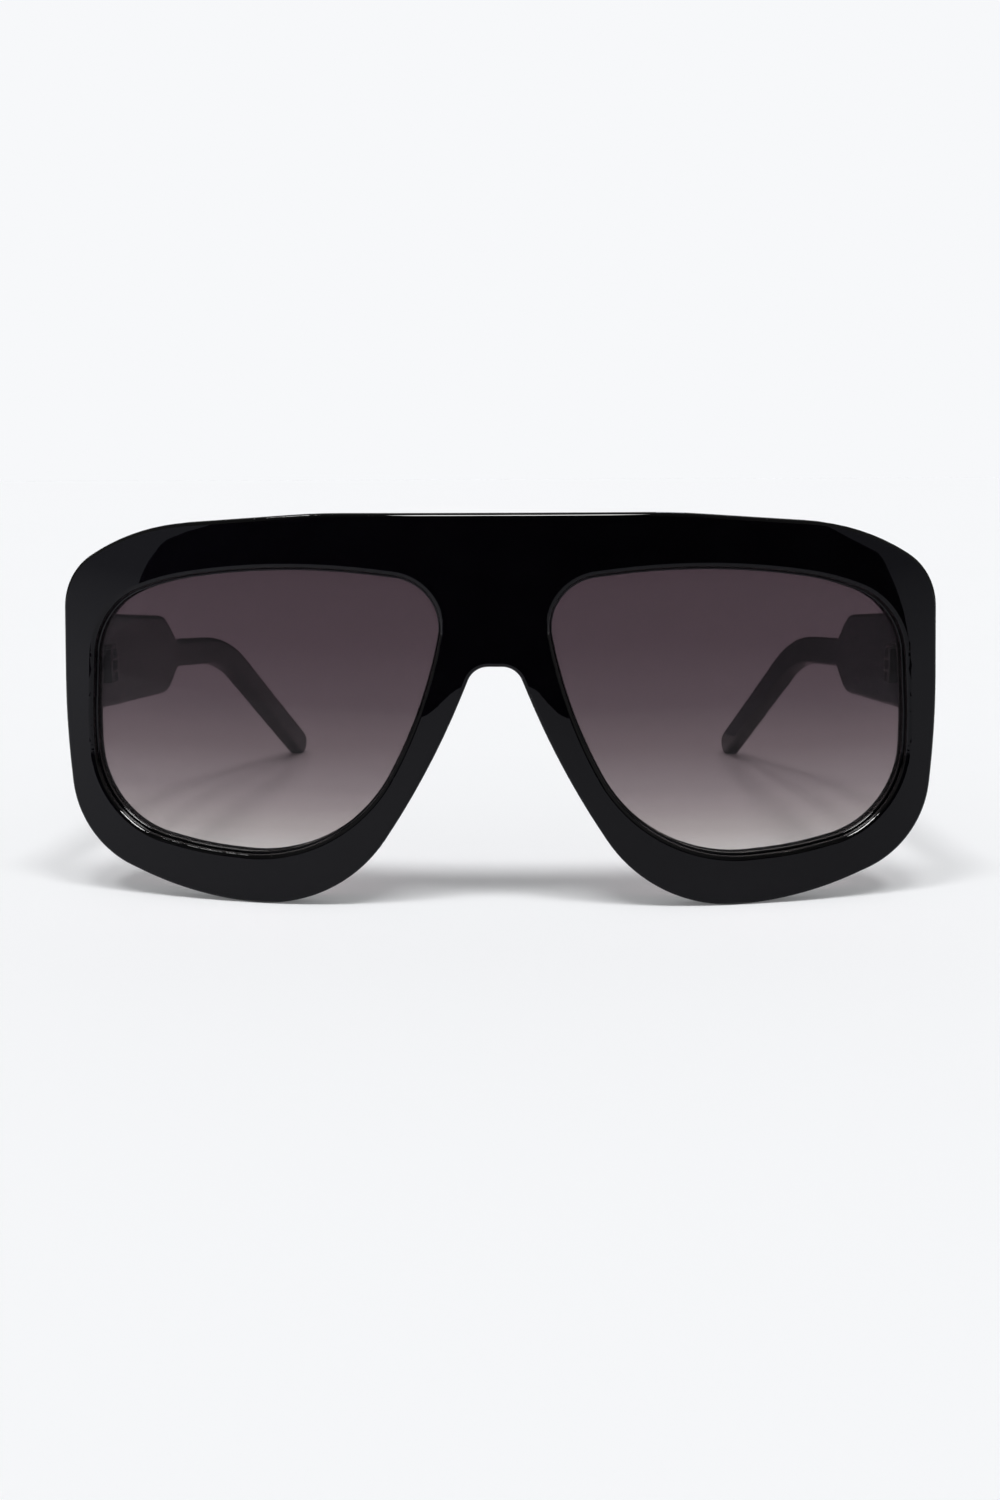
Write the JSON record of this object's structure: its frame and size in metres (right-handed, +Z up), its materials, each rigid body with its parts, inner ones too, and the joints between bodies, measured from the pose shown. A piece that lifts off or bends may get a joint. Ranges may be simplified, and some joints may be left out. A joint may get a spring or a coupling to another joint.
{
  "type": "sunglasses",
  "caption": "Oversized black acetate sunglasses with smoke gradient lenses, a flat brow, and broad temples that narrow to an arm and fold on screw hinges.",
  "frame": {"origin": "on the table, under the middle of the open sunglasses", "axes": "+X to the wearer's left, +Y from the front backwards along the temples, +Z up"},
  "size_m": [0.151, 0.144, 0.0666],
  "materials": {
    "black_acetate": "polished black acetate",
    "tinted_lens": "smoke lens, dark at the top and paler at the bottom",
    "hinge_metal": "black plated",
    "screw_steel": "bright turned steel",
    "washer_nylon": "plain nylon",
    "core_wire": "drawn wire"
  },
  "bodies": {
    "front": {"front_frame": "black_acetate", "lens_left": "tinted_lens", "lens_right": "tinted_lens", "nose_pad_left": "black_acetate", "nose_pad_right": "black_acetate", "front_hinge_left": "hinge_metal", "front_hinge_right": "hinge_metal", "hinge_screw_left": "screw_steel", "hinge_screw_right": "screw_steel", "hinge_washer_lower_left": "washer_nylon", "hinge_washer_lower_right": "washer_nylon", "hinge_washer_upper_left": "washer_nylon", "hinge_washer_upper_right": "washer_nylon"},
    "temple_left": {"temple_left": "black_acetate", "temple_core_left": "core_wire", "temple_hinge_left": "hinge_metal"},
    "temple_right": {"temple_right": "black_acetate", "temple_core_right": "core_wire", "temple_hinge_right": "hinge_metal"}
  },
  "joints": [
    {"name": "temple_fold_left", "type": "hinge", "parent": "front", "child": "temple_left", "pos_m": [0.06895, -0.0537, 0.0397], "axis": [0, 0, 1], "range_deg": [0, 86]},
    {"name": "temple_fold_right", "type": "hinge", "parent": "front", "child": "temple_right", "pos_m": [-0.06895, -0.0537, 0.0397], "axis": [0, 0, -1], "range_deg": [0, 80]}
  ]
}
